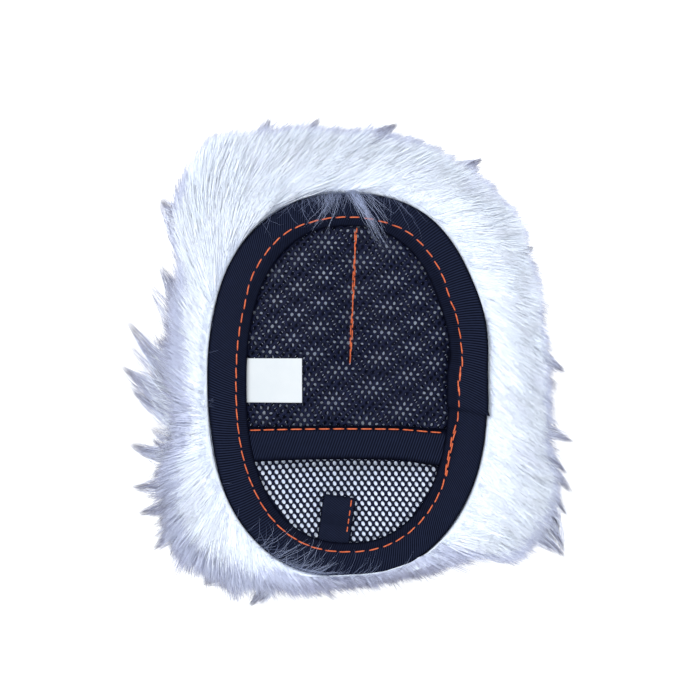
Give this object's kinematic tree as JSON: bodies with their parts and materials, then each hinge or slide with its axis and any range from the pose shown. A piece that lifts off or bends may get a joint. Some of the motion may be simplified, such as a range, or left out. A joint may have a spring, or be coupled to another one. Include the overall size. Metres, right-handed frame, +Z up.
{
  "type": "wash mitt",
  "caption": "Lambswool wash mitt with an oval mesh back, a hemmed mesh hand pocket with finger stalls, a bound edge, a hanging loop and a blank label.",
  "frame": {"origin": "centre of the underside of the whole mitt's box, on the surface that it lies on", "axes": "+Z up out of the hand side, +Y towards the fingertips, +X to the right as seen from above"},
  "size_m": [0.226, 0.256, 0.0477],
  "materials": {
    "wool": "white lambswool, long soft pile in locks, matt with a silky sheen",
    "hide": "undyed suede side of a wool hide, matt",
    "mesh": "black polyester air mesh with staggered oval holes, slight sheen",
    "tape": "blue-black twill tape, fine slanted ribs, matt",
    "thread": "orange polyester sewing thread, slight sheen",
    "label": "white woven satin, blank"
  },
  "bodies": {
    "mitt": {"wool_pile": "wool", "wool_hide": "hide", "base_mesh": "mesh", "pocket_mesh": "mesh", "hem_tape": "tape", "binding_tape": "tape", "binding_stitch": "thread", "lap_stitch": "thread", "hem_stitch": "thread", "stall_seam_stitch": "thread", "loop_tail": "tape", "label_tail": "label"},
    "loop": {"hanging_loop": "tape", "loop_stitch": "thread"},
    "label_flap": {"label": "label"}
  },
  "joints": [
    {"name": "loop_flip", "type": "hinge", "parent": "mitt", "child": "loop", "pos_m": [-0.009, -0.0932, 0.0362], "axis": [0.9903, -0.1392, 0], "range_deg": [0, 120]},
    {"name": "label_flip", "type": "hinge", "parent": "mitt", "child": "label_flap", "pos_m": [-0.0543, -0.0108, 0.0377], "axis": [0, -1, 0], "range_deg": [0, 120]}
  ]
}
